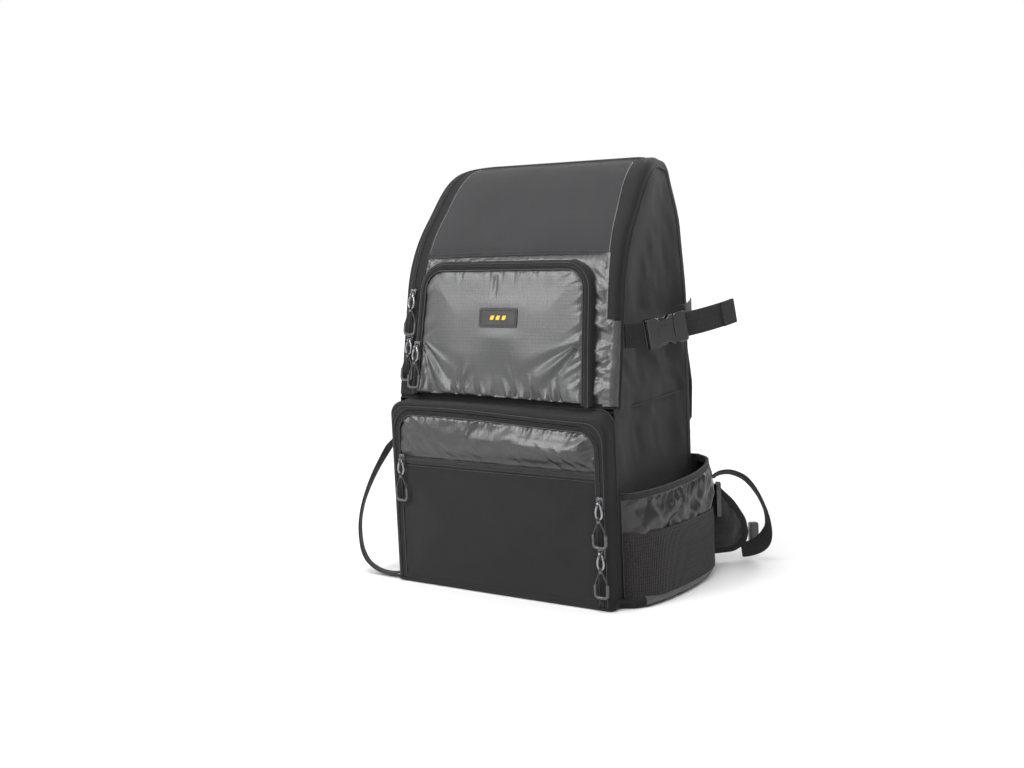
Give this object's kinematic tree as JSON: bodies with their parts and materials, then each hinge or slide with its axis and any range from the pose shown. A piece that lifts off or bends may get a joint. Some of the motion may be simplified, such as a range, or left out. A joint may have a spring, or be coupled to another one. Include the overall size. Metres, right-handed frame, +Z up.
{
  "type": "tackle backpack",
  "caption": "Fishing backpack with a clamshell upper compartment, boxed lower compartment, zipped pockets, side pockets and a padded harness.",
  "frame": {"origin": "middle of the flat base's underside, where the pack stands", "axes": "+Z up along the pack's height, -Y towards the front pockets, +Y towards the wearer's back, +X to the right seen from the front"},
  "size_m": [0.4793, 0.3228, 0.5298],
  "materials": {
    "matte_fabric": "matte charcoal polyester canvas",
    "hood_fabric": "matte charcoal polyester with a fine plain weave",
    "ripstop_fabric": "satin coated ripstop with a fine grid",
    "base_fabric": "smooth coated base cloth",
    "zip_tape": "woven zip tape with a moulded coil",
    "elastic": "ribbed wide elastic",
    "webbing": "woven polyester webbing",
    "padding": "foam covered with air mesh",
    "buckle_plastic": "moulded acetal",
    "sheet_plastic": "extruded sheet",
    "patch_rubber": "soft moulded badge",
    "slider_metal": "gunmetal plated zinc",
    "pull_cord": "grey cord with a moulded end"
  },
  "bodies": {
    "pack": {"base_panel": "base_fabric", "back_panel": "matte_fabric", "frame_sheet": "sheet_plastic", "left_side_panel": "matte_fabric", "right_side_panel": "matte_fabric", "top_panel": "hood_fabric", "divider_shelf": "matte_fabric", "lower_gusset": "matte_fabric", "main_gusset": "matte_fabric", "left_side_pocket": "ripstop_fabric", "right_side_pocket": "ripstop_fabric", "left_elastic_band": "elastic", "right_elastic_band": "elastic", "compression_anchors": "webbing", "compression_sockets": "buckle_plastic", "left_shoulder_strap": "padding", "right_shoulder_strap": "padding", "shoulder_ladder_locks": "buckle_plastic", "shoulder_webbing": "webbing", "back_pads": "padding", "lumbar_pad": "padding", "grab_handle": "webbing", "side_loop": "webbing", "sternum_webbing": "webbing", "sternum_socket": "buckle_plastic"},
    "main_flap": {"hood_panel": "hood_fabric", "front_panel": "ripstop_fabric", "upper_pocket_gusset": "matte_fabric"},
    "upper_flap": {"upper_pocket_panel": "ripstop_fabric", "patch": "patch_rubber"},
    "lower_flap": {"lower_flap_lining": "matte_fabric", "flat_pocket_panel": "matte_fabric", "flat_zip_tape": "zip_tape", "lower_flap_top": "ripstop_fabric"},
    "left_compression_plug": {"left_compression_plug": "buckle_plastic", "left_compression_webbing": "webbing"},
    "left_hip_wing": {"left_hip_wing": "padding", "left_hip_webbing": "webbing", "left_hip_ladder_lock": "buckle_plastic", "left_hip_buckle": "buckle_plastic"},
    "right_compression_plug": {"right_compression_plug": "buckle_plastic", "right_compression_webbing": "webbing"},
    "right_hip_wing": {"right_hip_wing": "padding", "right_hip_webbing": "webbing", "right_hip_ladder_lock": "buckle_plastic", "right_hip_buckle": "buckle_plastic"},
    "sternum_plug": {"sternum_plug": "buckle_plastic"},
    "main_slider_a": {"main_slider_a": "slider_metal"},
    "main_slider_b": {"main_slider_b": "slider_metal"},
    "upper_slider": {"upper_slider": "slider_metal"},
    "lower_slider_a": {"lower_slider_a": "slider_metal"},
    "lower_slider_b": {"lower_slider_b": "slider_metal"},
    "flat_slider": {"flat_slider": "slider_metal"},
    "main_pull_a": {"main_pull_a": "pull_cord"},
    "main_pull_b": {"main_pull_b": "pull_cord"},
    "upper_pull": {"upper_pull": "pull_cord"},
    "lower_pull_a": {"lower_pull_a": "pull_cord"},
    "lower_pull_b": {"lower_pull_b": "pull_cord"},
    "flat_pull": {"flat_pull": "pull_cord"}
  },
  "joints": [
    {"name": "main_flap_hinge", "type": "hinge", "parent": "pack", "child": "main_flap", "pos_m": [0, -0.116, 0.24], "axis": [1, 0, 0], "range_deg": [0, 100]},
    {"name": "upper_flap_hinge", "type": "hinge", "parent": "main_flap", "child": "upper_flap", "pos_m": [0, -0.11234, 0.24912], "axis": [-1, 0, 0], "range_deg": [-85, 0]},
    {"name": "lower_flap_hinge", "type": "hinge", "parent": "pack", "child": "lower_flap", "pos_m": [0, -0.124, 0.005], "axis": [1, 0, 0], "range_deg": [0, 75]},
    {"name": "left_compression_release", "type": "slide", "parent": "pack", "child": "left_compression_plug", "axis": [-0.4788, 0.8639, 0.1564], "range_m": [0, 0.022]},
    {"name": "left_hip_wing_hinge", "type": "hinge", "parent": "pack", "child": "left_hip_wing", "pos_m": [-0.15, 0.12717, 0.062], "axis": [0, 0, -1], "range_deg": [-15, 45]},
    {"name": "right_compression_release", "type": "slide", "parent": "pack", "child": "right_compression_plug", "axis": [0.4788, 0.8639, 0.1564], "range_m": [0, 0.022]},
    {"name": "right_hip_wing_hinge", "type": "hinge", "parent": "pack", "child": "right_hip_wing", "pos_m": [0.15, 0.12717, 0.062], "axis": [0, 0, 1], "range_deg": [-15, 45]},
    {"name": "sternum_release", "type": "slide", "parent": "pack", "child": "sternum_plug", "axis": [1, 0, 0], "range_m": [0, 0.016]},
    {"name": "main_slider_a_run", "type": "hinge", "parent": "main_flap", "child": "main_slider_a", "pos_m": [-0.12834, 0.10217, 0.34238], "axis": [0.9942, -0.1074, 0], "range_deg": [-25, 0]},
    {"name": "main_slider_b_run", "type": "slide", "parent": "main_flap", "child": "main_slider_b", "axis": [0, 0.1616, 0.9869], "range_m": [-0.02, 0]},
    {"name": "upper_slider_run", "type": "slide", "parent": "upper_flap", "child": "upper_slider", "axis": [0, 0.1616, 0.9869], "range_m": [0, 0.07]},
    {"name": "lower_slider_a_run", "type": "slide", "parent": "lower_flap", "child": "lower_slider_a", "axis": [0, 0, 1], "range_m": [0, 0.07]},
    {"name": "lower_slider_b_run", "type": "slide", "parent": "lower_flap", "child": "lower_slider_b", "axis": [0, 0, 1], "range_m": [-0.012, 0]},
    {"name": "flat_slider_run", "type": "slide", "parent": "lower_flap", "child": "flat_slider", "axis": [1, 0, 0], "range_m": [0, 0.27]},
    {"name": "main_pull_a_swing", "type": "hinge", "parent": "main_slider_a", "child": "main_pull_a", "pos_m": [-0.14806, -0.08769, 0.36992], "axis": [1, 0, 0], "range_deg": [-60, 0]},
    {"name": "main_pull_b_swing", "type": "hinge", "parent": "main_slider_b", "child": "main_pull_b", "pos_m": [-0.14909, -0.09723, 0.3117], "axis": [1, 0, 0], "range_deg": [-60, 0]},
    {"name": "upper_pull_swing", "type": "hinge", "parent": "upper_slider", "child": "upper_pull", "pos_m": [-0.127, -0.11052, 0.30475], "axis": [1, 0, 0], "range_deg": [-60, 0]},
    {"name": "lower_pull_a_swing", "type": "hinge", "parent": "lower_slider_a", "child": "lower_pull_a", "pos_m": [0.156, -0.1312, 0.1285], "axis": [1, 0, 0], "range_deg": [-60, 0]},
    {"name": "lower_pull_b_swing", "type": "hinge", "parent": "lower_slider_b", "child": "lower_pull_b", "pos_m": [0.156, -0.1312, 0.0685], "axis": [1, 0, 0], "range_deg": [-60, 0]},
    {"name": "flat_pull_swing", "type": "hinge", "parent": "flat_slider", "child": "flat_pull", "pos_m": [-0.145, -0.1312, 0.1595], "axis": [1, 0, 0], "range_deg": [-60, 0]}
  ]
}
